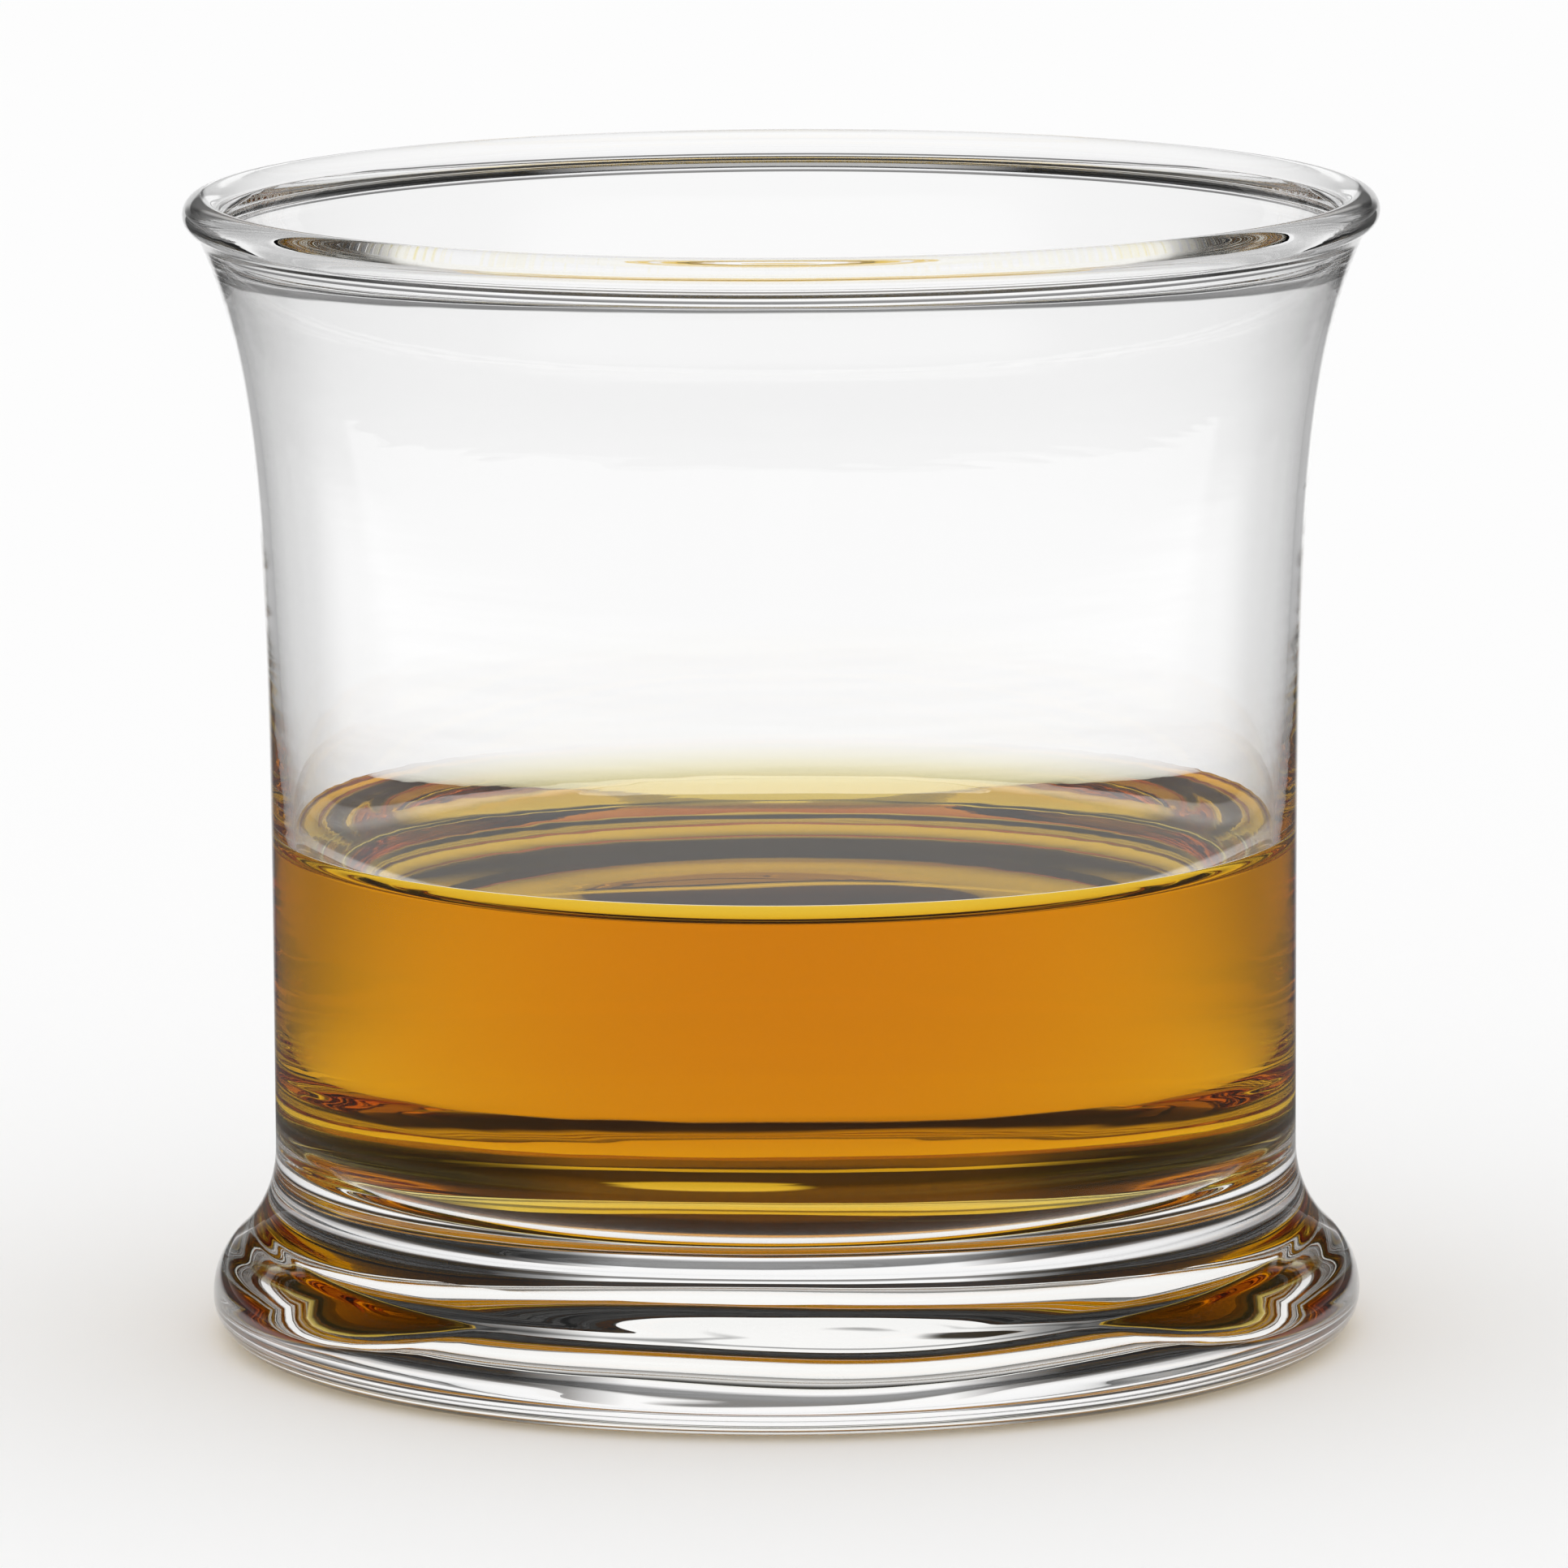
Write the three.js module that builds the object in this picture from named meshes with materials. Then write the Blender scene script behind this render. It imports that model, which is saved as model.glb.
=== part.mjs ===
// A rocks glass: a blown bowl with a beaded lip, on a heavy solid foot, holding a measure of spirit.
// Millimetres, +Z up. The origin is where the glass's axis meets the table.
import * as THREE from "three";

// Overall sizes
const HEIGHT = 82;
const RIM_DIAMETER = 85;
const BODY_DIAMETER = 73.2;
const FOOT_DIAMETER = 82.4;

// Lip: a round bead, and the trumpet flare that carries it
const BEAD_DIAMETER = 2.6;
const BEAD_PROUD = 0.35;
const FLARE_LENGTH = 10.5;
const LIP_BLEND = 3.2;

// Bowl: an even wall that thickens towards the floor, from a height that is measured from the floor.
// The ease is how gently the even wall runs into the thickening one.
const WALL = 0.75;
const TAPER_LENGTH = 30;
const TAPER_SLOPE = 0.08;
const TAPER_EASE = 5;
const FLOOR_THICKNESS = 2.2;
const CORNER_RADIUS = 8;

// Foot: the face that is welded to the bowl, the hollow waist, the rounded edge and the ring that it stands on
const WELD_HEIGHT = 9;
const WAIST_HEIGHT = 13.5;
const EDGE_HEIGHT = 2.9;
const EDGE_RADIUS = 5.2;
const EDGE_UNDERCUT = 2.8;
const STANDING_RING = 7.4;

// Underside, inside that ring: a shallow recess with a broad dome in it, which starts a little further in
const RECESS_DEPTH = 0.3;
const RECESS_EASE = 3;
const DOME_DEPTH = 0.9;
const DOME_SET_IN = 7;

// Drink: its depth, the rim of liquid that climbs the wall, and the gap to the glass
const DRINK_DEPTH = 23.4;
const MENISCUS_RISE = 2;
const MENISCUS_REACH = 1.8;
const DRINK_GAP = 0.3;

// Facets round the axis, and along each stretch of a profile
const ROUND_SEGMENTS = 64;
const OUTSIDE_STEPS = 20;
const INSIDE_STEPS = 12;
const HOLLOW_STEPS = 12;
const WAIST_STEPS = 10;
const WET_WALL_STEPS = 4;
const LIP_STEPS = 17;
const ARC_STEPS = 6;

const rimRadius = RIM_DIAMETER / 2;
const bodyRadius = BODY_DIAMETER / 2;
const footRadius = FOOT_DIAMETER / 2;
const beadRadius = BEAD_DIAMETER / 2;
const bead = new THREE.Vector2(rimRadius - beadRadius, HEIGHT - beadRadius);
const cavityFloor = WELD_HEIGHT + FLOOR_THICKNESS;
const taperTop = cavityFloor + TAPER_LENGTH;
const drinkLevel = cavityFloor + DRINK_DEPTH;
const standingEdge = footRadius - EDGE_UNDERCUT;
const hollowRadius = standingEdge - STANDING_RING;
const domeRadius = hollowRadius - DOME_SET_IN;

// The waist is two arcs that touch: a hollow one that leaves the body upright, and the foot's rounded edge.
// Their radii add up to half of (reach squared + rise squared) / reach.
const waistReach = footRadius - bodyRadius;
const waistRise = WAIST_HEIGHT - EDGE_HEIGHT;
const radiiSum = (waistReach ** 2 + waistRise ** 2) / (2 * waistReach);
const hollowWaistRadius = radiiSum - EDGE_RADIUS;
const touchHeight = EDGE_HEIGHT + (EDGE_RADIUS * waistRise) / radiiSum;

// Outer radius of the glass at height z, from the widest point of the foot up to the lip.
function outerRadius(z) {
  if (z < touchHeight) {
    return footRadius - EDGE_RADIUS + Math.sqrt(EDGE_RADIUS ** 2 - (z - EDGE_HEIGHT) ** 2);
  }
  if (z < WAIST_HEIGHT) {
    const drop = WAIST_HEIGHT - z;
    return bodyRadius + hollowWaistRadius - Math.sqrt(hollowWaistRadius ** 2 - drop ** 2);
  }
  const flare = Math.exp((z - bead.y) / FLARE_LENGTH) - Math.exp((WAIST_HEIGHT - bead.y) / FLARE_LENGTH);
  return bodyRadius + (rimRadius - BEAD_PROUD - bodyRadius) * flare;
}

// Thickness of the bowl's wall at height z: the wall itself, the swelling into the bead, and the base taper.
function wallThickness(z) {
  const swelling = outerRadius(bead.y) - (rimRadius - BEAD_DIAMETER) - WALL;
  const lip = swelling * Math.exp((z - bead.y) / LIP_BLEND);
  const taper = TAPER_SLOPE * TAPER_EASE * Math.log(1 + Math.exp((taperTop - z) / TAPER_EASE));
  return WALL + lip + taper;
}

function innerRadius(z) {
  return outerRadius(z) - wallThickness(z);
}

// Height of the foot's underside at a distance from the axis, inside the ring that it stands on.
function hollowHeight(radius) {
  const recess = 1 - THREE.MathUtils.smoothstep(radius, hollowRadius - RECESS_EASE, hollowRadius);
  const dome = 1 - THREE.MathUtils.smoothstep(radius, 0, domeRadius);
  return RECESS_DEPTH * recess + DOME_DEPTH * dome;
}

// Points of a curve r(z) from one height to another. The spacing takes a share of the way, from 0 to 1.
function alongWall(radiusAt, from, to, steps, spacing) {
  const points = [];
  for (let i = 0; i <= steps; i++) {
    const z = from + (to - from) * spacing(i / steps);
    points.push(new THREE.Vector2(radiusAt(z), z));
  }
  return points;
}

// Spacings: points at even steps, crowded towards the end, or crowded towards both ends.
const even = (share) => share;
const crowdedAtEnd = (share) => 1 - (1 - share) ** 1.6;
const crowdedAtBothEnds = (share) => THREE.MathUtils.smoothstep(share, 0, 1);

// Points of an arc about a centre, from one angle to another, in degrees.
function arc(centre, radius, from, to, steps) {
  const points = [];
  for (let i = 0; i <= steps; i++) {
    const angle = THREE.MathUtils.degToRad(from + ((to - from) * i) / steps);
    points.push(new THREE.Vector2(Math.cos(angle), Math.sin(angle)).multiplyScalar(radius).add(centre));
  }
  return points;
}

function onAxis(z) {
  return new THREE.Vector2(0, z);
}

// A solid of revolution about +Z from a profile that starts and ends on the axis.
function turned(name, profile, material) {
  const geometry = new THREE.LatheGeometry(profile, ROUND_SEGMENTS);
  geometry.rotateX(Math.PI / 2);
  const mesh = new THREE.Mesh(geometry, material);
  mesh.name = name;
  return mesh;
}

// The inside of the bowl below a given height, moved inwards by a gap: floor, rounded corner, tapered wall.
function cavity(top, gap, steps, spacing) {
  const cornerTop = cavityFloor + CORNER_RADIUS;
  const centre = new THREE.Vector2(innerRadius(cornerTop) - CORNER_RADIUS, cornerTop);
  const wall = alongWall((z) => innerRadius(z) - gap, cornerTop, top, steps, spacing);
  return [
    onAxis(cavityFloor + gap),
    ...arc(centre, CORNER_RADIUS - gap, -90, 0, ARC_STEPS),
    ...wall.slice(1),
  ];
}

function makeBowl(material) {
  // The lip's round starts where the flare runs into it, just under its outer side, and ends at its inner side.
  const lipStart = -75;
  const lipStartHeight = bead.y + beadRadius * Math.sin(THREE.MathUtils.degToRad(lipStart));
  const outside = alongWall(outerRadius, WELD_HEIGHT, lipStartHeight, OUTSIDE_STEPS, crowdedAtBothEnds);
  const lip = arc(bead, beadRadius, lipStart, 180, LIP_STEPS);
  const inside = cavity(bead.y, 0, INSIDE_STEPS, crowdedAtEnd).reverse();
  return turned("bowl", [onAxis(WELD_HEIGHT), ...outside, ...lip.slice(1), ...inside.slice(1)], material);
}

function makeFoot(material) {
  // The hollow's points crowd towards the ring that stands on the table, where the recess ends.
  const hollow = [];
  for (let i = 0; i <= HOLLOW_STEPS; i++) {
    const radius = hollowRadius * (1 - (1 - i / HOLLOW_STEPS) ** 2);
    hollow.push(new THREE.Vector2(radius, hollowHeight(radius)));
  }
  // The lower edge is a quarter of an ellipse from the flat ring to the foot's widest point.
  const edge = [];
  for (let i = 0; i <= ARC_STEPS; i++) {
    const angle = ((i / ARC_STEPS) * Math.PI) / 2;
    const radius = standingEdge + EDGE_UNDERCUT * Math.sin(angle);
    edge.push(new THREE.Vector2(radius, EDGE_HEIGHT * (1 - Math.cos(angle))));
  }
  const waist = alongWall(outerRadius, EDGE_HEIGHT, WELD_HEIGHT, WAIST_STEPS, even);
  return turned("foot", [...hollow, ...edge, ...waist.slice(1), onAxis(WELD_HEIGHT)], material);
}

function makeDrink(material) {
  // The surface is level in the middle and climbs the wall in a curve that dies away from it.
  const top = drinkLevel + MENISCUS_RISE;
  const wetRadius = innerRadius(top) - DRINK_GAP;
  const surface = [];
  for (let i = 1; i <= ARC_STEPS; i++) {
    const away = 4 * MENISCUS_REACH * (i / ARC_STEPS) ** 2;
    const climb = MENISCUS_RISE * Math.exp(-away / MENISCUS_REACH);
    surface.push(new THREE.Vector2(wetRadius - away, drinkLevel + climb));
  }
  const wetInside = cavity(top, DRINK_GAP, WET_WALL_STEPS, even);
  return turned("drink", [...wetInside, ...surface, onAxis(drinkLevel)], material);
}

const clearGlass = new THREE.MeshStandardMaterial({
  color: 0xeef3f3,
  roughness: 0.02,
  metalness: 0,
  transparent: true,
  opacity: 0.3,
});
const footGlass = clearGlass.clone();
const amberSpirit = new THREE.MeshStandardMaterial({
  color: 0xcd7a16,
  roughness: 0.02,
  metalness: 0,
  transparent: true,
  opacity: 0.85,
});

const rocksGlass = new THREE.Group();
rocksGlass.add(makeBowl(clearGlass), makeFoot(footGlass), makeDrink(amberSpirit));

export default rocksGlass;
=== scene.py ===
# %% [markdown]
# A rocks glass with a measure of amber spirit, dressed for a studio picture.
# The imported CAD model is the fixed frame: a bowl, a foot that is welded to it, and the drink.
# Each of the three gets a finer skin here. Small facets that nobody sees on a wooden part show at once
# in clear glass, because every bend of its surface bends the picture behind it.
# Sizes are written in millimetres. Blender works in metres, and MM turns one into the other.

# %% Load the frame and keep its box
import math

import bpy
import numpy as np
from mathutils import Matrix, Vector


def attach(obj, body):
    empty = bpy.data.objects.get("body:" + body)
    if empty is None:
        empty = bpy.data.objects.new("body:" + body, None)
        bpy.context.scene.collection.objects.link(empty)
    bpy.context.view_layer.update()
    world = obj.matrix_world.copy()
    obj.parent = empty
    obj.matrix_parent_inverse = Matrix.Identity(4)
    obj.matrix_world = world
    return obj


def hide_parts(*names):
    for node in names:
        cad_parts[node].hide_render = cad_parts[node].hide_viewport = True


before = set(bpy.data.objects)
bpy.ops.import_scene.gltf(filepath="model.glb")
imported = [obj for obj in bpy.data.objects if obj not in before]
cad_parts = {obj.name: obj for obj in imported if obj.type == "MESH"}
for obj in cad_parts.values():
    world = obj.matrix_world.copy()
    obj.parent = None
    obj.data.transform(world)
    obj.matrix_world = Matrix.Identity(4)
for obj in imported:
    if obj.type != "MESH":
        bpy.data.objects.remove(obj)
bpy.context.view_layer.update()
MM = 0.001

# %% [markdown]
# The glass was blown and turned, so its outline is one curve carried round an upright axis.
# Blender's Screw modifier or Spin could turn a drawn curve. Here the curve is a formula, because then
# two arcs meet with exactly the same slope, and clear glass shows every kink. The sizes are those of the
# CAD model. Only the liquid's surface differs: it is 0.4 mm lower in its middle, and as high at the wall.

# %% Sizes of the glass in millimetres
HEIGHT = 82.0
RIM_RADIUS = 42.5
BODY_RADIUS = 36.6
FOOT_RADIUS = 41.2
BEAD_RADIUS = 1.3
BEAD_PROUD = 0.35
FLARE_LENGTH = 10.5
LIP_BLEND = 3.2
WALL = 0.75
TAPER_LENGTH = 30.0
TAPER_SLOPE = 0.08
TAPER_EASE = 5.0
WELD_HEIGHT = 9.0
CAVITY_FLOOR = 11.2
CORNER_RADIUS = 8.0
print("rim", 2 * RIM_RADIUS, "mm, body", 2 * BODY_RADIUS, "mm, height", HEIGHT, "mm")

# %% Sizes of the foot and of the drink in millimetres
WAIST_HEIGHT = 13.5
EDGE_HEIGHT = 2.9
EDGE_RADIUS = 5.2
EDGE_UNDERCUT = 2.8
STANDING_RING = 7.4
RECESS_DEPTH = 0.3
RECESS_EASE = 3.0
DOME_RADIUS = 24.0
DOME_DEPTH = 0.9
DRINK_LEVEL = 34.2
MENISCUS_RISE = 2.4
MENISCUS_REACH = 2.6

BEAD_R = RIM_RADIUS - BEAD_RADIUS
BEAD_Z = HEIGHT - BEAD_RADIUS
TAPER_TOP = CAVITY_FLOOR + TAPER_LENGTH
STANDING_EDGE = FOOT_RADIUS - EDGE_UNDERCUT
HOLLOW_RADIUS = STANDING_EDGE - STANDING_RING
CONTACT = DRINK_LEVEL + MENISCUS_RISE
print("stands on a ring of radius", round(HOLLOW_RADIUS, 1), "to", round(STANDING_EDGE, 1), "mm")
print("the liquid meets the wall at", round(CONTACT, 1), "mm")

# %% [markdown]
# From the bottom up, the outside is the foot's round edge, a hollow waist, and a wall that flares faster
# and faster towards the lip, as a soft rim does when it is spun. The waist and the edge are two arcs that
# touch, so the sum of their radii follows from how far in and how far up the waist goes. The inside follows
# the outside at the wall's thickness, which swells into the bead at the lip and into the heavy base.
# A radius for each height is all that a turned piece needs, so that is what the two functions give.

# %% Where the arcs of the waist touch
waist_reach = FOOT_RADIUS - BODY_RADIUS
waist_rise = WAIST_HEIGHT - EDGE_HEIGHT
radii_sum = (waist_reach**2 + waist_rise**2) / (2 * waist_reach)
HOLLOW_WAIST = radii_sum - EDGE_RADIUS
TOUCH_HEIGHT = EDGE_HEIGHT + EDGE_RADIUS * waist_rise / radii_sum
print("waist arc radius", round(HOLLOW_WAIST, 2), "mm, arcs touch at", round(TOUCH_HEIGHT, 2), "mm")


# %% Radius of the glass at each height
def outer_radius(z):
    """Outer radius at height z: the foot's round edge, the hollow waist, then an exponential flare."""
    edge_drop = EDGE_RADIUS**2 - (z - EDGE_HEIGHT) ** 2
    edge = FOOT_RADIUS - EDGE_RADIUS + np.sqrt(np.maximum(edge_drop, 0))
    drop = np.clip(WAIST_HEIGHT - z, 0, HOLLOW_WAIST)
    waist = BODY_RADIUS + HOLLOW_WAIST - np.sqrt(HOLLOW_WAIST**2 - drop**2)
    flare = np.exp((z - BEAD_Z) / FLARE_LENGTH) - math.exp((WAIST_HEIGHT - BEAD_Z) / FLARE_LENGTH)
    wall = BODY_RADIUS + (RIM_RADIUS - BEAD_PROUD - BODY_RADIUS) * flare
    return np.where(z < TOUCH_HEIGHT, edge, np.where(z < WAIST_HEIGHT, waist, wall))


LIP_SWELL = float(outer_radius(np.array(BEAD_Z))) - (RIM_RADIUS - 2 * BEAD_RADIUS) - WALL


def inner_radius(z):
    """Outer radius less the wall: an even wall, a swelling into the bead, a taper towards the floor."""
    swelling = LIP_SWELL * np.exp((z - BEAD_Z) / LIP_BLEND)
    taper = TAPER_SLOPE * TAPER_EASE * np.logaddexp(0, (TAPER_TOP - z) / TAPER_EASE)
    return outer_radius(z) - WALL - swelling - taper


SAMPLE_HEIGHTS = (20.0, 50.0, 79.0)
for z in SAMPLE_HEIGHTS:
    radii = [round(float(radius_at(np.array(z))), 2) for radius_at in (outer_radius, inner_radius)]
    print("height", z, "outer and inner radius", radii)

# %% [markdown]
# An outline is a row of points (radius, height), put together from stretches: straight lines, arcs and
# the two curves above. Points can crowd towards the end of a stretch. In Blender one could draw a Bezier
# curve and let it choose the points, but here their number is known, and the order of faces with it.

# %% Stretches of an outline
# Two points nearer than this, in mm, are one.
SAME_POINT = 1e-5


def eased(start, stop, count, ease=1.0):
    """count + 1 heights from start to stop, crowded towards stop when ease is above 1."""
    return stop + (start - stop) * (1 - np.linspace(0, 1, count + 1)) ** ease


def arc(r, z, radius, start, stop, count):
    """Points on a circle about (r, z), from one angle to another in degrees."""
    a = np.radians(np.linspace(start, stop, count + 1))
    return np.stack([r + radius * np.cos(a), z + radius * np.sin(a)], 1)


def along(radius_at, heights):
    """Points (radius_at(z), z) at the given heights."""
    return np.stack([radius_at(heights), heights], 1)


def flat(start, stop, height, count):
    """Points at one height, from one radius to another."""
    return np.stack([np.linspace(start, stop, count), np.full(count, height)], 1)


def joined(*stretches):
    """Stretches end to end, without the points that repeat."""
    points = np.concatenate(stretches)
    keep = np.r_[True, np.hypot(*np.diff(points, axis=0).T) > SAME_POINT]
    return points[keep]


print("a quarter circle in two steps:", arc(0, 0, 1, 0, 90, 2).round(3).tolist())

# %% [markdown]
# The foot is a second gather of glass. Its underside can't be seen, so that is a guess from how such feet
# are made: it stands on a ring, with a shallow recess inside it and a broad dome in the middle, so that it
# doesn't rock. Outside the ring the edge rounds up in a quarter of an ellipse, and the waist leads to the
# flat face where the bowl is welded on. A sculpted disc would do, but the formula keeps the ring flat. The
# outline starts a little off the axis, and one single point closes it there.

# %% Outline of the foot
NEAR_AXIS = 0.4
HOLLOW_POINTS = 80
RING_POINTS = 9
EDGE_POINTS = 25
WAIST_STEPS = 48
WAIST_CROWDING = 1.5


def smooth(t):
    """A smooth step: 3 t^2 - 2 t^3 between 0 and 1, level outside."""
    t = np.clip(t, 0, 1)
    return t * t * (3 - 2 * t)


def underside(r):
    """Height of the underside at radius r: a smooth step up into the recess, and one up the dome."""
    recess = RECESS_DEPTH * smooth((HOLLOW_RADIUS - r) / RECESS_EASE)
    return recess + DOME_DEPTH * smooth((DOME_RADIUS - r) / DOME_RADIUS)


hollow_r = np.linspace(NEAR_AXIS, HOLLOW_RADIUS, HOLLOW_POINTS)
hollow = np.stack([hollow_r, underside(hollow_r)], 1)
ring = flat(HOLLOW_RADIUS, STANDING_EDGE, 0.0, RING_POINTS)
quarter = np.linspace(0, np.pi / 2, EDGE_POINTS)
edge_r = STANDING_EDGE + EDGE_UNDERCUT * np.sin(quarter)
edge = np.stack([edge_r, EDGE_HEIGHT * (1 - np.cos(quarter))], 1)
waist = along(outer_radius, eased(EDGE_HEIGHT, WELD_HEIGHT, WAIST_STEPS, WAIST_CROWDING))
FOOT_OUTLINE = joined(hollow, ring, edge, waist)
print("foot outline:", len(FOOT_OUTLINE), "points")

# %% [markdown]
# The bowl's outline goes up the outside from the weld, over the bead and down the inside to the floor.
# A sheet with a Solidify modifier would make a wall too, but an even one, and this wall thickens twice.
# The inside is cut where the liquid meets the wall, because the wet glass below needs a finish of its own.

# %% Outline of the bowl
LIP_START, LIP_END = -75, 180
JUST_ABOVE = 0.01
OUTSIDE_STEPS = 88
LIP_STEPS = 48
DRY_STEPS = 56
WET_STEPS = 24
CORNER_STEPS = 32
FLOOR_POINTS = 20
lip_start_z = BEAD_Z + BEAD_RADIUS * math.sin(math.radians(LIP_START))
outside_z = np.r_[WELD_HEIGHT, eased(WELD_HEIGHT + JUST_ABOVE, lip_start_z, OUTSIDE_STEPS)]
outside = along(outer_radius, outside_z)
lip = arc(BEAD_R, BEAD_Z, BEAD_RADIUS, LIP_START, LIP_END, LIP_STEPS)
corner_top = CAVITY_FLOOR + CORNER_RADIUS
corner_r = float(inner_radius(np.array(corner_top))) - CORNER_RADIUS
dry_inside = along(inner_radius, eased(BEAD_Z, CONTACT, DRY_STEPS))
wet_inside = along(inner_radius, eased(CONTACT, corner_top, WET_STEPS))
corner = arc(corner_r, corner_top, CORNER_RADIUS, 0, -90, CORNER_STEPS)
inside_floor = flat(corner_r, NEAR_AXIS, CAVITY_FLOOR, FLOOR_POINTS)
BOWL_OUTLINE = joined(outside, lip, dry_inside, wet_inside, corner, inside_floor)
WET_ROW = len(joined(outside, lip, dry_inside)) - 1
print("bowl outline:", len(BOWL_OUTLINE), "points, wet from row", WET_ROW)

# %% [markdown]
# A skin is a grid: one row of points for each point of the outline, one column for each step round.
# The two ends close on the axis with a single point each, so there is no hole and no doubled seam.
# Rows and columns are whole arrays, and the faces are index arithmetic on them: that is much faster
# than adding vertices one by one, and the order of the faces is known, which helps with materials later.

# %% Turn an outline into a closed skin
TURNS = 288
round_angles = np.linspace(0, 2 * np.pi, TURNS, endpoint=False)
column = np.arange(TURNS)
next_column = (column + 1) % TURNS


def grid_faces(rows):
    """Quads of a rows by TURNS grid that closes on itself round the axis, wound to face outwards."""
    row = np.arange(rows - 1)[:, None] * TURNS
    quads = [row + column, row + next_column, row + TURNS + next_column, row + TURNS + column]
    return np.stack(quads, -1).reshape(-1, 4)


def end_faces(tip, row, turned_over):
    """Triangles from one axis point to a row of the grid, with the winding turned over or not."""
    pair = (next_column, column) if turned_over else (column, next_column)
    return np.stack([np.full(TURNS, tip), row * TURNS + pair[0], row * TURNS + pair[1]], 1)


def turned(name, outline, first, last, lift):
    """Skin (r cos a, r sin a, z + lift) of an outline in mm, with an axis point at each end."""
    r, z = outline.T[:, :, None]
    x, y = r * np.cos(round_angles), r * np.sin(round_angles)
    z = np.broadcast_to(z, x.shape)
    rings = np.stack([x, y, z + lift(x, y, z)], -1).reshape(-1, 3)
    tips = [[0, 0, tip + float(lift(np.array(0.0), np.array(0.0), np.array(tip)))] for tip in (first, last)]
    rows = len(outline)
    start, end = rows * TURNS, rows * TURNS + 1
    faces = [grid_faces(rows), end_faces(start, 0, True), end_faces(end, rows - 1, False)]
    mesh = bpy.data.meshes.new(name)
    mesh.from_pydata((np.concatenate([rings, tips]) * MM).tolist(), [], sum((f.tolist() for f in faces), []))
    mesh.validate()
    mesh.polygons.foreach_set("use_smooth", np.ones(len(mesh.polygons), bool))
    piece = bpy.data.objects.new(name, mesh)
    bpy.context.scene.collection.objects.link(piece)
    print(name, len(mesh.vertices), "points,", len(mesh.polygons), "faces")
    return piece


print("a skin has", TURNS, "steps round: one every", 360 / TURNS, "degrees")

# %% [markdown]
# Hot glass is never quite flat. Where it was pressed or pooled, under the foot and on the floor of the
# bowl, it keeps long, shallow waves, and they make the wandering bright shapes that one sees deep in a
# heavy base. A noise texture as a bump would only tilt the shading. Here three crossing waves lift the
# points themselves, so that the light is bent by a true shape. They die out towards the ring and the wall.

# %% Waves of the hand-worked glass
# Each wave: the mm along x and along y over which it turns by one radian, its phase and its share.
WAVES = ((6.1, 9.7, 0.8, 1.0), (4.3, -6.9, 2.1, 0.8), (11.3, 3.7, 4.4, 0.6))
HOLLOW_WAVE = 0.12
FLOOR_WAVE = 0.06
FADE_UP = 3.0
HOLLOW_FADE = 0.7
ABOVE_WELD = 0.5
BELOW_SURFACE = 1.0


def uneven(x, y):
    """Sum of cosine waves over the plan, from -1 to 1."""
    waves = [share * np.cos(x / long_x + y / long_y + phase) for long_x, long_y, phase, share in WAVES]
    return sum(waves) / sum(share for *_, share in WAVES)


def under_foot(x, y, z):
    """Waves of the hollow under the foot, dying out towards the standing ring."""
    inward = np.clip(1 - (x**2 + y**2) / HOLLOW_RADIUS**2, 0, 1)
    return np.where(z < WELD_HEIGHT / 2, HOLLOW_WAVE * uneven(x, y) * inward**HOLLOW_FADE, 0)


def on_floor(x, y, z):
    """Waves of the floor of the bowl, dying out towards the wall and upwards."""
    inward = np.clip(1 - (x**2 + y**2) / BODY_RADIUS**2, 0, 1)
    low = np.exp(-np.maximum(0, z - CAVITY_FLOOR) / FADE_UP)
    inside = (z > WELD_HEIGHT + ABOVE_WELD) & (z < DRINK_LEVEL - BELOW_SURFACE)
    return np.where(inside, FLOOR_WAVE * uneven(y, x) * inward * low, 0)


print("waves up to", HOLLOW_WAVE, "mm under the foot and", FLOOR_WAVE, "mm on the floor")

# %% [markdown]
# The bowl and the foot are two gathers of the same clear glass, joined hot, and meet on a flat face.
# They could be one mesh, but they are two pieces of the frame, so each has its own closed skin. The skins
# are shaded smooth, which would also smooth the right angle at the weld and could put a dark ring on the
# outside. The edges of the weld face are marked sharp, so that its shading stays off the wall.

# %% Bowl and foot
# Heights nearer than this, in metres as in the mesh, are one.
SAME_HEIGHT = 1e-7


def fold_sharp(piece, height):
    """Marks the edges that lie wholly at this height as sharp, and counts them."""
    mesh = piece.data
    co = np.empty(len(mesh.vertices) * 3, np.float32)
    mesh.vertices.foreach_get("co", co)
    at_height = np.abs(co.reshape(-1, 3)[:, 2] - height * MM) < SAME_HEIGHT
    ends = np.empty(len(mesh.edges) * 2, np.int32)
    mesh.edges.foreach_get("vertices", ends)
    sharp = at_height[ends.reshape(-1, 2)].all(1)
    mesh.attributes.new("sharp_edge", "BOOLEAN", "EDGE").data.foreach_set("value", sharp)
    return int(sharp.sum())


bowl = turned("bowl_skin", BOWL_OUTLINE, WELD_HEIGHT, CAVITY_FLOOR, on_floor)
foot = turned("foot_skin", FOOT_OUTLINE, RECESS_DEPTH + DOME_DEPTH, WELD_HEIGHT, under_foot)
print("sharp weld edges:", fold_sharp(bowl, WELD_HEIGHT), fold_sharp(foot, WELD_HEIGHT))

# %% [markdown]
# The spirit fills the round-cornered cavity and climbs the wall in a small curve, the meniscus, because
# it wets glass. A copy of the bowl's inside would do for its sides. Its own skin reaches a hair into the
# glass instead: light then goes from glass to liquid with no film of air between, which would shine like
# a mirror. The climb dies away from the wall as an exponential, much as it does for a wetting liquid.

# %% Drink
SEATED_IN_GLASS = 0.04
MENISCUS_SPAN = 6
CLIMB_STEPS = 40
SURFACE_POINTS = 40
wet_floor_z = CAVITY_FLOOR - SEATED_IN_GLASS


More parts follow.
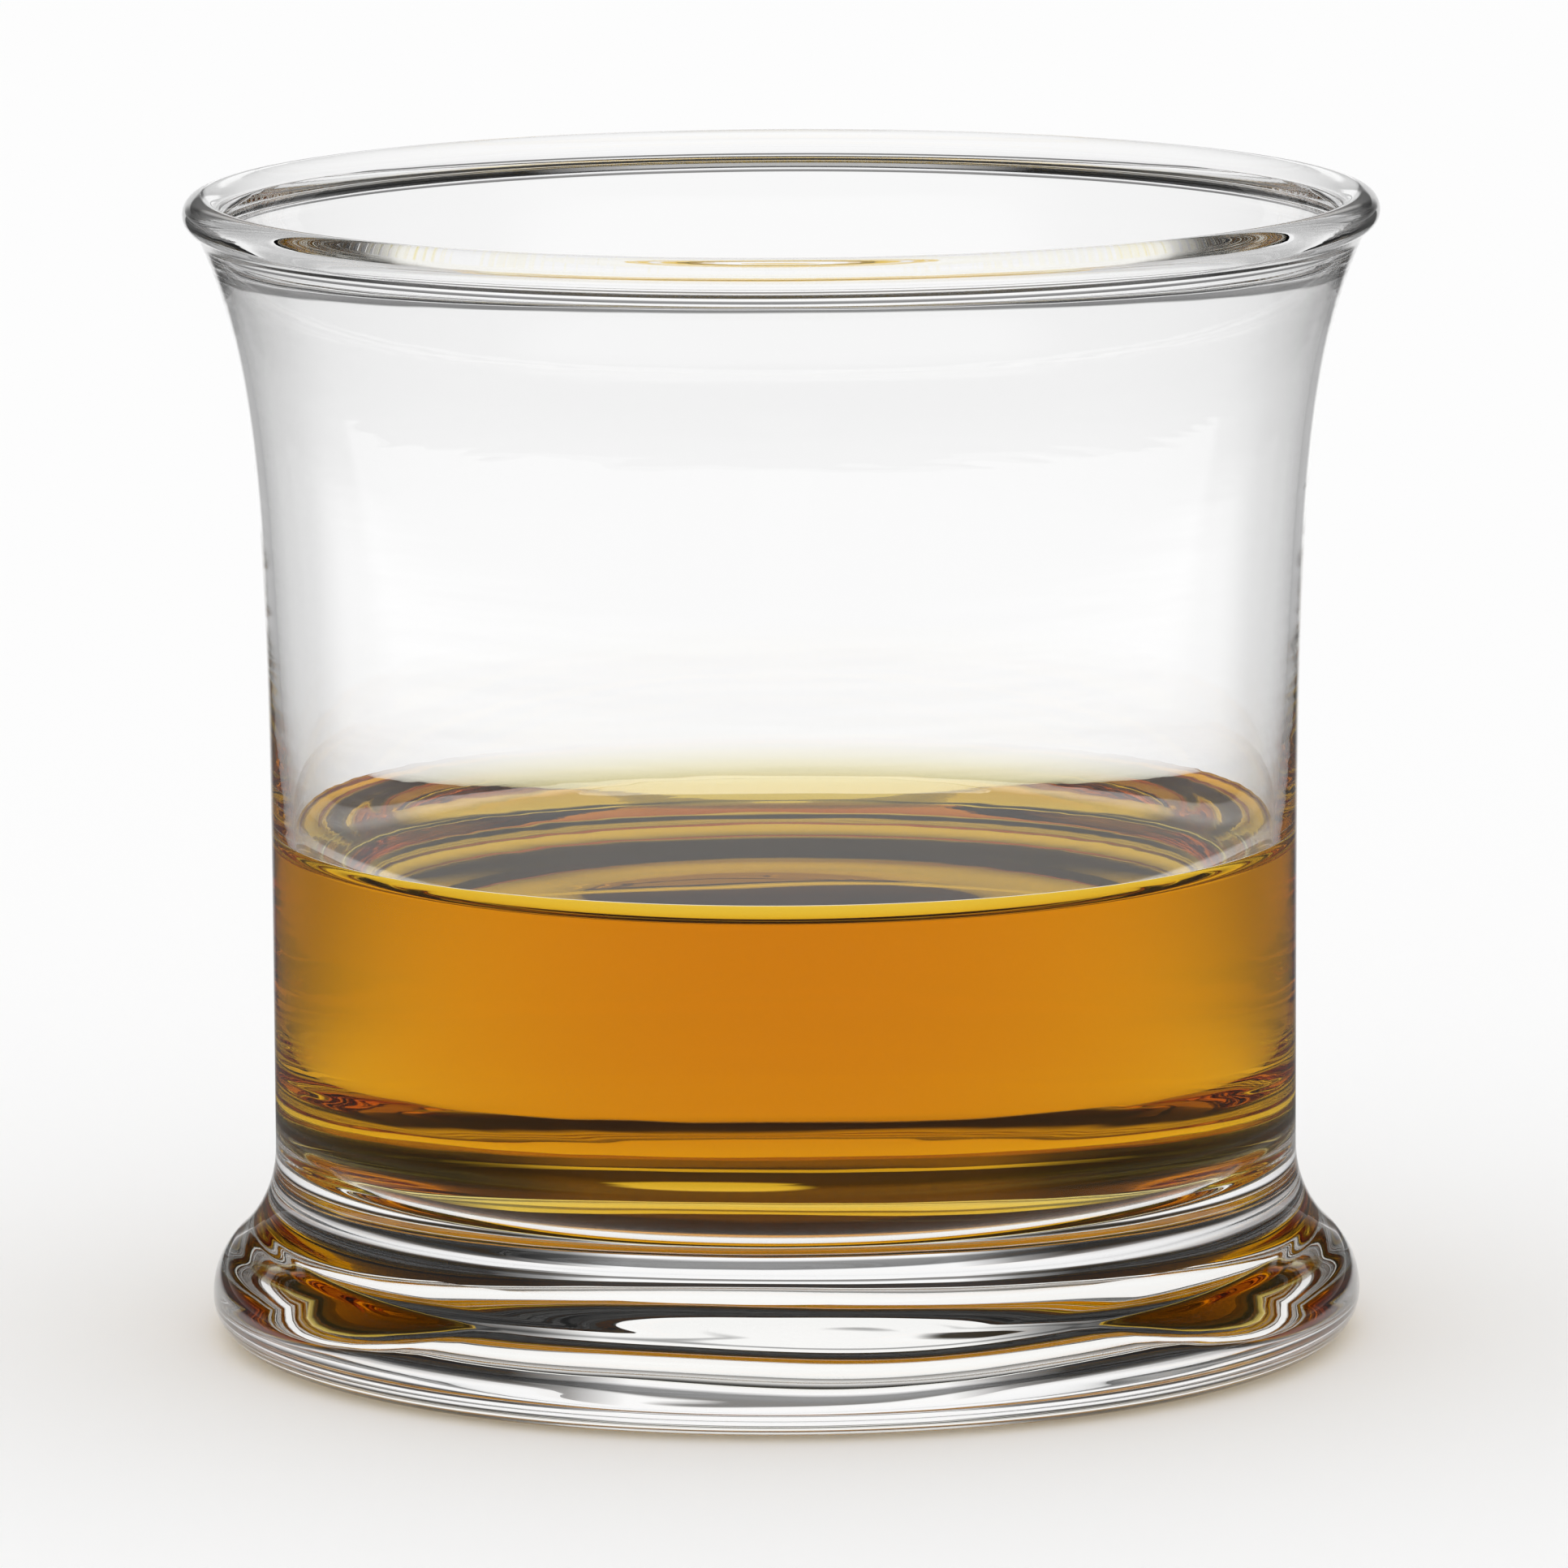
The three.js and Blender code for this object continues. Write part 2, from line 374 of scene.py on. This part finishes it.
def meniscus(count):
    """Points inwards from the wall: the liquid climbs by rise times exp(-distance / reach)."""
    away = MENISCUS_SPAN * MENISCUS_REACH * np.linspace(0, 1, count + 1) ** 2
    wet = float(inner_radius(np.array(CONTACT))) + SEATED_IN_GLASS
    return np.stack([wet - away, DRINK_LEVEL + MENISCUS_RISE * np.exp(-away / MENISCUS_REACH)], 1)


wet_floor = flat(NEAR_AXIS, corner_r, wet_floor_z, FLOOR_POINTS)
wet_corner = arc(corner_r, corner_top, CORNER_RADIUS + SEATED_IN_GLASS, -90, 0, CORNER_STEPS)
wet_wall = along(lambda z: inner_radius(z) + SEATED_IN_GLASS, eased(corner_top, CONTACT, WET_STEPS))
climb = meniscus(CLIMB_STEPS)
middle_r, middle_z = climb[-1]
surface = flat(middle_r, NEAR_AXIS, middle_z, SURFACE_POINTS)
DRINK_OUTLINE = joined(wet_floor, wet_corner, wet_wall, climb, surface)
OPEN_ROW = len(joined(wet_floor, wet_corner, wet_wall)) - 1
drink = turned("drink_skin", DRINK_OUTLINE, wet_floor_z, float(middle_z), on_floor)
print("drink outline:", len(DRINK_OUTLINE), "points, open to the air from row", OPEN_ROW)

# %% [markdown]
# Materials are node trees. They could be wired by hand in the shader editor, but a short helper does it
# in one line a node. Colours are written as the sRGB hex codes that a painter would pick, and one function
# turns them into the linear values that the renderer adds up.


# %% Colour and node helpers
def linear(code):
    """sRGB hex code to linear RGB: ((c + 0.055) / 1.055) to the power 2.4 above 0.04045, else c / 12.92."""
    c = np.array([int(code[i : i + 2], 16) for i in (1, 3, 5)]) / 255
    return np.where(c > 0.04045, ((c + 0.055) / 1.055) ** 2.4, c / 12.92)


def add(tree, kind, inputs, **settings):
    """Adds a node: settings are its own properties, inputs are values, or sockets to link from."""
    node = tree.nodes.new(kind)
    for key, value in settings.items():
        setattr(node, key, value)
    for key, value in inputs.items():
        if isinstance(value, bpy.types.NodeSocket):
            tree.links.new(value, node.inputs[key])
        else:
            node.inputs[key].default_value = value
    return node


def material(name):
    """An empty node material and its tree."""
    mat = bpy.data.materials.new(name)
    mat.use_nodes = True
    mat.node_tree.nodes.clear()
    return mat, mat.node_tree


WHITE = (*linear("#ffffff"), 1)
print("a middle grey in linear light:", linear("#808080").round(3))

# %% [markdown]
# Soda-lime glass, fire-polished: the flame melts the last scratches away, so it is perfectly smooth and
# next to colourless, and bends light by 1.52. A Glass shader would do. The Principled shader with full
# transmission gives the same, and is the one that exported files can carry. Blown and turned glass keeps
# faint ripples round its axis, much longer than high, which make edges seen through it waver. They are a
# bump of about a hundredth of a millimetre, on a noise that is stretched sideways.

# %% Clear glass
GLASS_IOR = 1.52
RIPPLE_LONG, RIPPLE_HIGH = 22.222 * MM, 2.381 * MM
RIPPLE_DEPTH = 0.014 * MM

# Clear soda-lime glass, blown and fire-polished: all that one sees of it is the bent and mirrored room.
clear_glass, nt = material("clear_soda_lime_glass")
place = add(nt, "ShaderNodeTexCoord", {})
stretch = (1 / RIPPLE_LONG, 1 / RIPPLE_LONG, 1 / RIPPLE_HIGH)
stretched = add(nt, "ShaderNodeMapping", {"Vector": place.outputs["Object"], "Scale": stretch})
ripple = add(nt, "ShaderNodeTexNoise", {"Vector": stretched.outputs[0], "Scale": 1.0, "Detail": 2.0})
faint = add(nt, "ShaderNodeBump", {"Strength": 1.0, "Distance": RIPPLE_DEPTH, "Height": ripple.outputs[0]})
clear_look = {"Base Color": WHITE, "Roughness": 0.0, "IOR": GLASS_IOR, "Transmission Weight": 1.0}
shader = add(nt, "ShaderNodeBsdfPrincipled", clear_look | {"Normal": faint.outputs[0]})
add(nt, "ShaderNodeOutputMaterial", {"Surface": shader.outputs[0]})
print(clear_glass.name, "with", len(nt.nodes), "nodes, ripples", RIPPLE_DEPTH / MM, "mm deep")

# %% [markdown]
# Below the liquid's edge, light passes from glass to spirit, not to air. It is bent by the ratio of the
# two indices, about 1.12, so the wet wall almost vanishes. At the weld there is glass on both sides and
# nothing is bent at all. A Principled shader with an index of 1 would go black, so the weld faces are
# simply transparent. They could be left out, but then neither skin would be closed.

# %% Wet glass and weld
SPIRIT_IOR = 1.36

# Glass wet with spirit: a faint border, because the two bend light nearly alike.
wet_glass, nt = material("glass_wet_with_spirit")
wet_look = clear_look | {"IOR": GLASS_IOR / SPIRIT_IOR}
shader = add(nt, "ShaderNodeBsdfPrincipled", wet_look)
add(nt, "ShaderNodeOutputMaterial", {"Surface": shader.outputs[0]})

# Fused glass: the weld of two hot gathers, which the eye can't find.
weld_glass, nt = material("fused_weld")
shader = add(nt, "ShaderNodeBsdfTransparent", {})
add(nt, "ShaderNodeOutputMaterial", {"Surface": shader.outputs[0]})
print("index from spirit to glass", round(GLASS_IOR / SPIRIT_IOR, 3))

# %% [markdown]
# Each face gets its finish by number. The order of faces is known from the grid: rows from the outline's
# start to its end, then the fan at the first axis point, then the fan at the last. So a stretch of the
# outline is a slice of the faces, and nothing has to be picked by hand.

# %% Which faces are clear, welded or wet
CLEAR, WELDED, WET = 0, 1, 2
for piece, finishes in ((bowl, (clear_glass, weld_glass, wet_glass)), (foot, (clear_glass, weld_glass))):
    for finish in finishes:
        piece.data.materials.append(finish)
first_fan, last_fan = slice(-2 * TURNS, -TURNS), slice(-TURNS, None)
bowl_finish = np.full(len(bowl.data.polygons), CLEAR, np.int32)
bowl_finish[WET_ROW * TURNS : -2 * TURNS] = WET
bowl_finish[first_fan] = WELDED
bowl_finish[last_fan] = WET
bowl.data.polygons.foreach_set("material_index", bowl_finish)
foot_finish = np.full(len(foot.data.polygons), CLEAR, np.int32)
foot_finish[last_fan] = WELDED
foot.data.polygons.foreach_set("material_index", foot_finish)
print("bowl faces clear, welded, wet:", np.bincount(bowl_finish))

# %% [markdown]
# Aged spirit is clear but coloured: it takes out blue first, then green, the further the light goes.
# A tinted surface can't do that, because a thin edge and the full width would have the same colour. So
# the colour is in the volume, an absorption worked out from what is left after crossing the bowl: light
# falls off as exp(-path times absorption). Only the open surface bends light. The sides are transparent,
# because the wet glass there already does the bending, and a face attribute tells the two apart.

# %% Amber spirit
SPIRIT_PATH = 70 * MM
SEEN_ACROSS = linear("#d07d01")
# A little over the strongest absorption, so that no channel of the volume's colour is zero.
HEADROOM = 1.02
per_metre = -np.log(SEEN_ACROSS) / SPIRIT_PATH
density = float(per_metre.max() * HEADROOM)
keeps = 1 - per_metre / density

open_air = np.zeros(len(drink.data.polygons), np.float32)
open_air[OPEN_ROW * TURNS : -2 * TURNS] = 1
open_air[last_fan] = 1
drink.data.attributes.new("open_air", "FLOAT", "FACE").data.foreach_set("value", open_air)

# Amber spirit, still and clear: orange across the bowl, yellow where it is shallow.
amber, nt = material("amber_spirit")
shader = add(nt, "ShaderNodeBsdfPrincipled", clear_look | {"IOR": SPIRIT_IOR})
absorb = add(nt, "ShaderNodeVolumeAbsorption", {"Color": (*keeps, 1), "Density": density})
top = add(nt, "ShaderNodeAttribute", {}, attribute_name="open_air")
through = add(nt, "ShaderNodeBsdfTransparent", {})
skin = add(nt, "ShaderNodeMixShader", {0: top.outputs["Fac"], 1: through.outputs[0], 2: shader.outputs[0]})
add(nt, "ShaderNodeOutputMaterial", {"Surface": skin.outputs[0], "Volume": absorb.outputs[0]})
drink.data.materials.append(amber)
print("absorbs per metre", per_metre.round(1), "density", round(density, 1), "colour", keeps.round(3))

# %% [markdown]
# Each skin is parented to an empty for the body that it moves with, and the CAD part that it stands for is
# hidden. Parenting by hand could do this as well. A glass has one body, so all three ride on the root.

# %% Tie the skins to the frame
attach(bowl, "root")
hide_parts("bowl")
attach(foot, "root")
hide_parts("foot")
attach(drink, "root")
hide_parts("drink")
print("skins tied to the frame:", [piece.name for piece in (bowl, foot, drink)])

# %% [markdown]
# The floor is a wide sheet of matt white paper, a hair under the foot so that the two don't touch. A plane
# from the Add menu would do. Four corners written out are as short, and their height is exact. One quad is
# enough, because it is flat. The sheet belongs to the stage, not to the part.

# %% Floor sheet
FLOOR_HALF = 4.0
FLOOR_DROP = 0.05 * MM
sheet = bpy.data.meshes.new("floor")
sheet_corners = np.array([[-1, -1], [1, -1], [1, 1], [-1, 1]]) * FLOOR_HALF
sheet.from_pydata([(*c, -FLOOR_DROP) for c in sheet_corners.tolist()], [], [(0, 1, 2, 3)])
table = bpy.data.objects.new("floor", sheet)
bpy.context.scene.collection.objects.link(table)
print("floor", 2 * FLOOR_HALF, "m square,", FLOOR_DROP / MM, "mm under the foot")

# %% [markdown]
# Clear glass shows little but its surroundings, so a glass on white paper in an all-white room nearly
# vanishes. Studios lay dark cards beside the glass, to give it edges. Real sheets could do that, but they
# would be in the picture. Here the paper itself is dark where a mirror image on the glass sees it: Light
# Path's Is Glossy Ray, less Is Transmission Ray, picks those rays out. Behind the glass, close round the
# foot and far out in front, the paper stays white for them too. Map Range with a smooth step draws each
# border, over distances on the floor in millimetres.

# %% Paper as the glass mirrors it
PAPER = (*linear("#fdfdfd"), 1)
CARD = (*linear("#616161"), 1)
BACK_SPLAY, FRONT_SPLAY = 0.33, 1.9
# Each border: where it begins and where it is complete.
BACK_BORDER = {"From Min": -20 * MM, "From Max": 30 * MM}
FRONT_BORDER = {"From Min": -50 * MM, "From Max": 150 * MM}
CARD_BORDER = {"From Min": 60 * MM, "From Max": 100 * MM}
FAR_BORDER = {"From Min": 250 * MM, "From Max": 300 * MM}
STEP = {"interpolation_type": "SMOOTHSTEP"}

# Matt white paper: an even white that scatters light and takes a soft shadow. In the glass's mirror images
# it is dark grey round the glass, like dark cards. Seen through the glass it glows white, with a painted
# fall-off to the sides and painted shade under the back of the standing ring.
paper, nt = material("matt_white_paper")
table.data.materials.append(paper)
place = add(nt, "ShaderNodeTexCoord", {})
plan = add(nt, "ShaderNodeSeparateXYZ", {"Vector": place.outputs["Object"]})
reach = add(nt, "ShaderNodeVectorMath", {0: place.outputs["Object"]}, operation="LENGTH").outputs["Value"]
across = add(nt, "ShaderNodeMath", {0: plan.outputs["X"]}, operation="ABSOLUTE").outputs[0]
splay = {0: plan.outputs["Y"], 2: across}
beside = add(nt, "ShaderNodeMath", splay | {1: -BACK_SPLAY}, operation="MULTIPLY_ADD")
before = add(nt, "ShaderNodeMath", splay | {1: -FRONT_SPLAY}, operation="MULTIPLY_ADD")
off_back = add(nt, "ShaderNodeMapRange", BACK_BORDER | {"Value": beside.outputs[0]}, **STEP)
in_front = add(nt, "ShaderNodeMapRange", FRONT_BORDER | {"Value": before.outputs[0]}, **STEP)
off_foot = add(nt, "ShaderNodeMapRange", CARD_BORDER | {"Value": reach}, **STEP)
far_out = add(nt, "ShaderNodeMapRange", FAR_BORDER | {"Value": reach}, **STEP)
print("dark cards from", round(CARD_BORDER["From Min"] / MM), "mm off the axis, at level", round(CARD[0], 3))

# %% Dark cards for mirror images only
far_front = add(nt, "ShaderNodeMath", {0: in_front.outputs[0], 1: far_out.outputs[0]}, operation="MULTIPLY")
not_far = add(nt, "ShaderNodeMath", {0: 1.0, 1: far_front.outputs[0]}, operation="SUBTRACT")
around = add(nt, "ShaderNodeMath", {0: off_back.outputs[0], 1: off_foot.outputs[0]}, operation="MULTIPLY")
carded = add(nt, "ShaderNodeMath", {0: around.outputs[0], 1: not_far.outputs[0]}, operation="MULTIPLY")
path = add(nt, "ShaderNodeLightPath", {})
glossy, refracted = path.outputs["Is Glossy Ray"], path.outputs["Is Transmission Ray"]
mirrors = add(nt, "ShaderNodeMath", {0: glossy, 1: refracted}, operation="SUBTRACT", use_clamp=True)
dark = add(nt, "ShaderNodeMath", {0: mirrors.outputs[0], 1: carded.outputs[0]}, operation="MULTIPLY")
# The Mix node keeps its two colours in sockets 6 and 7, and its two numbers in sockets 2 and 3.
tone = add(nt, "ShaderNodeMix", {0: dark.outputs[0], 6: PAPER, 7: CARD}, data_type="RGBA")
matt = add(nt, "ShaderNodeBsdfDiffuse", {"Color": tone.outputs[2]})
print("paper nodes so far:", len(nt.nodes))

# %% [markdown]
# Seen through the glass, the paper is the pale background of the picture: Is Transmission Ray shows it at a
# strength of 1, which is white. This glow has a painted fall-off to the sides behind the glass, which
# darkens the drink towards its edges. The strip under the back of the standing ring has painted shade, as
# under any heavy foot.
# Lamps and flags could be set up for that, but the picture would be noisier. The levels were set one by one.

# %% Paper as seen through the glass
SIDE_LEVEL = 0.5
SIDE_FALL = {"From Min": 0.15, "From Max": 0.6, "To Min": 1.0, "To Max": SIDE_LEVEL}
FOOT_BORDER = {"From Min": 40 * MM, "From Max": 46 * MM}
SHADE = 0.97
SHADE_BACK = {"From Min": 10 * MM, "From Max": 26 * MM, "To Min": 0.0, "To Max": SHADE}
SHADE_INNER = {"From Min": 26 * MM, "From Max": 31 * MM}
SHADE_OUTER = {"From Min": 37 * MM, "From Max": 42 * MM, "To Min": 1.0, "To Max": 0.0}

# Painted fall-off: the glow dims to the sides behind the glass, but not under the foot.
past_foot = add(nt, "ShaderNodeMapRange", FOOT_BORDER | {"Value": reach}, **STEP)
bearing = add(nt, "ShaderNodeMath", {0: across, 1: reach}, operation="DIVIDE")
sideways = add(nt, "ShaderNodeMath", {0: bearing.outputs[0], 1: past_foot.outputs[0]}, operation="MULTIPLY")
falling = add(nt, "ShaderNodeMapRange", SIDE_FALL | {"Value": sideways.outputs[0]}, **STEP)
level = add(nt, "ShaderNodeMix", {0: in_front.outputs[0], 2: falling.outputs[0], 3: 1.0})
# Painted shade: the glow dims in a ring under the back of the standing ring.
at_back = add(nt, "ShaderNodeMapRange", SHADE_BACK | {"Value": plan.outputs["Y"]}, **STEP)
from_inner = add(nt, "ShaderNodeMapRange", SHADE_INNER | {"Value": reach}, **STEP)
to_outer = add(nt, "ShaderNodeMapRange", SHADE_OUTER | {"Value": reach}, **STEP)
ring_wide = {0: to_outer.outputs[0], 1: from_inner.outputs[0]}
under_ring = add(nt, "ShaderNodeMath", ring_wide, operation="MULTIPLY")
shade = add(nt, "ShaderNodeMath", {0: at_back.outputs[0], 1: under_ring.outputs[0]}, operation="MULTIPLY")
unshaded = add(nt, "ShaderNodeMath", {0: 1.0, 1: shade.outputs[0]}, operation="SUBTRACT")
strength = add(nt, "ShaderNodeMath", {0: level.outputs[0], 1: unshaded.outputs[0]}, operation="MULTIPLY")
glow = add(nt, "ShaderNodeEmission", {"Color": WHITE, "Strength": strength.outputs[0]})
seen = add(nt, "ShaderNodeMixShader", {0: refracted, 1: matt.outputs[0], 2: glow.outputs[0]})
add(nt, "ShaderNodeOutputMaterial", {"Surface": seen.outputs[0]})
print(paper.name, "with", len(nt.nodes), "nodes")

# %% [markdown]
# The light is an even white surround, so there are no lamps and the shadow is soft all round. That alone
# would leave the glass without contrast. A studio therefore lights a glass from behind with one bright
# panel in a dark room, and the glass draws its dark lines from the dark round the panel. The world does
# both: rays that the glass bent or mirrored see the room with the panel, all others see plain white.
# Ramps over the ray's direction paint the room: Z is the sine of its height above the horizon, X and Y point
# to the right and to the back. The real room isn't known, so these bands are given one by one.

# %% World: the panel behind the glass and the dark room
# Stops of each ramp: a direction and the level of light there. The panel has a grey bar low down.
PANEL_UP = ((0.0, 1.0), (0.09, 1.0), (0.11, 0.2), (0.20, 0.3), (0.24, 1.0), (0.335, 1.0), (0.35, 0.02))
PANEL_SIDE = ((0.0, 1.0), (0.19, 1.0), (0.27, 0.3), (0.36, 0.03))
ROOM_UP = ((0.0, 0.35), (0.03, 0.15), (0.08, 0.02), (0.6, 0.015), (0.9, 0.015), (0.97, 0.5))

world = bpy.data.worlds.new("studio")
bpy.context.scene.world = world
world.use_nodes = True
nt = world.node_tree
nt.nodes.clear()
toward = add(nt, "ShaderNodeTexCoord", {})
axes = add(nt, "ShaderNodeSeparateXYZ", {"Vector": toward.outputs["Generated"]})
right, back, up = axes.outputs["X"], axes.outputs["Y"], axes.outputs["Z"]
aside = add(nt, "ShaderNodeMath", {0: right}, operation="ABSOLUTE")
panel_up = add(nt, "ShaderNodeValToRGB", {"Fac": up})
panel_side = add(nt, "ShaderNodeValToRGB", {"Fac": aside.outputs[0]})
room_up = add(nt, "ShaderNodeValToRGB", {"Fac": up})
for node, stops in ((panel_up, PANEL_UP), (panel_side, PANEL_SIDE), (room_up, ROOM_UP)):
    elements = node.color_ramp.elements
    while len(elements) < len(stops):
        elements.new(1.0)
    for element, (position, value) in zip(elements, stops):
        element.position = position
        element.color = (value, value, value, 1)
print("panel up to", round(math.degrees(math.asin(PANEL_UP[-1][0])), 1), "degrees over the horizon")

# %% World: put the room together
MULTIPLY = {"data_type": "RGBA", "blend_type": "MULTIPLY"}
LIGHTEN = {"data_type": "RGBA", "blend_type": "LIGHTEN"}
at_back = add(nt, "ShaderNodeMath", {0: back, 1: 0.0}, operation="GREATER_THAN")
panel = add(nt, "ShaderNodeMix", {0: 1.0, 6: panel_up.outputs[0], 7: panel_side.outputs[0]}, **MULTIPLY)
behind = add(nt, "ShaderNodeMix", {0: 1.0, 6: panel.outputs[2], 7: at_back.outputs[0]}, **MULTIPLY)
room = add(nt, "ShaderNodeMix", {0: 1.0, 6: behind.outputs[2], 7: room_up.outputs[0]}, **LIGHTEN)
print("world nodes so far:", len(nt.nodes))

# %% [markdown]
# The hollow waist, the top of the foot's edge and the back of the flare's inside look up and to the front,
# and mirror that part of the room. A dim band of light there gives them something to mirror. A second panel
# would do it too. The band has half the panel's level, because at full level the foot got too bright.

# %% World: the dim band in front, and what each ray sees
BAND_LEVEL = 0.5
BAND_FRONT = {"From Min": -0.3, "From Max": -0.65, "To Min": 0.0, "To Max": BAND_LEVEL}
BAND_LOW = {"From Min": 0.18, "From Max": 0.24}
BAND_HIGH = {"From Min": 0.66, "From Max": 0.72, "To Min": 1.0, "To Max": 0.0}
FIRST_BOUNCE = 0.5

ahead = add(nt, "ShaderNodeMapRange", BAND_FRONT | {"Value": back}, **STEP)
over_low = add(nt, "ShaderNodeMapRange", BAND_LOW | {"Value": up}, **STEP)
under_high = add(nt, "ShaderNodeMapRange", BAND_HIGH | {"Value": up}, **STEP)
height = add(nt, "ShaderNodeMath", {0: over_low.outputs[0], 1: under_high.outputs[0]}, operation="MULTIPLY")
band = add(nt, "ShaderNodeMath", {0: ahead.outputs[0], 1: height.outputs[0]}, operation="MULTIPLY")
lit_room = add(nt, "ShaderNodeMix", {0: 1.0, 6: room.outputs[2], 7: band.outputs[0]}, **LIGHTEN)
path = add(nt, "ShaderNodeLightPath", {})
glossy, refracted = path.outputs["Is Glossy Ray"], path.outputs["Is Transmission Ray"]
by_glass = add(nt, "ShaderNodeMath", {0: glossy, 1: refracted}, operation="MAXIMUM")
# After a bounce off the paper the surround is white again, so the room never dims the floor.
fresh = add(nt, "ShaderNodeMath", {0: path.outputs["Diffuse Depth"], 1: FIRST_BOUNCE}, operation="LESS_THAN")
shown = add(nt, "ShaderNodeMath", {0: by_glass.outputs[0], 1: fresh.outputs[0]}, operation="MULTIPLY")
by_ray = {0: shown.outputs[0], 6: WHITE, 7: lit_room.outputs[2]}
surround = add(nt, "ShaderNodeMix", by_ray, data_type="RGBA")
light = add(nt, "ShaderNodeBackground", {"Color": surround.outputs[2], "Strength": 1.0})
add(nt, "ShaderNodeOutputWorld", {"Surface": light.outputs[0]})
print(world.name, "with", len(nt.nodes), "nodes")

# %% [markdown]
# The camera stands a little over the rim and far off, with a long lens, as for a product picture: the
# rim's ellipse is flat and the sides hardly converge. Its height, distance and focal length were fitted to
# the ellipses of the rim and of the foot. A Track To constraint could aim it. A rotation worked out once
# is plainer, and leaves room for the slight roll of the picture.

# %% Camera
IMAGE_PX = 1932
FOCAL_PX = 15507
SENSOR_MM = 36
CLIP_NEAR, CLIP_FAR = 0.01, 100
AIM = Vector((0, 0, 39.35)) * MM
DISTANCE = 900 * MM
ELEVATION = math.radians(9.05)
ROLL = math.radians(0.29)
camera = bpy.data.cameras.new("camera")
camera.sensor_width = SENSOR_MM
camera.lens = SENSOR_MM * FOCAL_PX / IMAGE_PX
camera.clip_start = CLIP_NEAR
camera.clip_end = CLIP_FAR
eye = bpy.data.objects.new("camera", camera)
bpy.context.scene.collection.objects.link(eye)
eye.location = AIM + DISTANCE * Vector((0, -math.cos(ELEVATION), math.sin(ELEVATION)))
look = (AIM - eye.location).to_track_quat("-Z", "Y").to_matrix().to_4x4()
eye.matrix_world = Matrix.Translation(eye.location) @ look @ Matrix.Rotation(-ROLL, 4, "Z")
bpy.context.scene.camera = eye
print("camera", [round(v, 4) for v in eye.location], "lens", round(camera.lens, 1))

# %% [markdown]
# Light zigzags inside a heavy base many times before it comes out. A ray that reaches the bounce limit
# turns black, so with the usual dozen bounces there would be black patches in the thick glass. The limit
# is therefore high. A lower one would only save time. The view transform is Standard, which shows white
# paper as white.

# %% Picture settings
BOUNCES = 96
CLEAR_FACES = 16
bpy.context.scene.view_settings.view_transform = "Standard"
cycles = bpy.context.scene.cycles
cycles.max_bounces = BOUNCES
cycles.transmission_bounces = BOUNCES
cycles.glossy_bounces = BOUNCES
cycles.transparent_max_bounces = CLEAR_FACES
print("light may bounce", BOUNCES, "times")
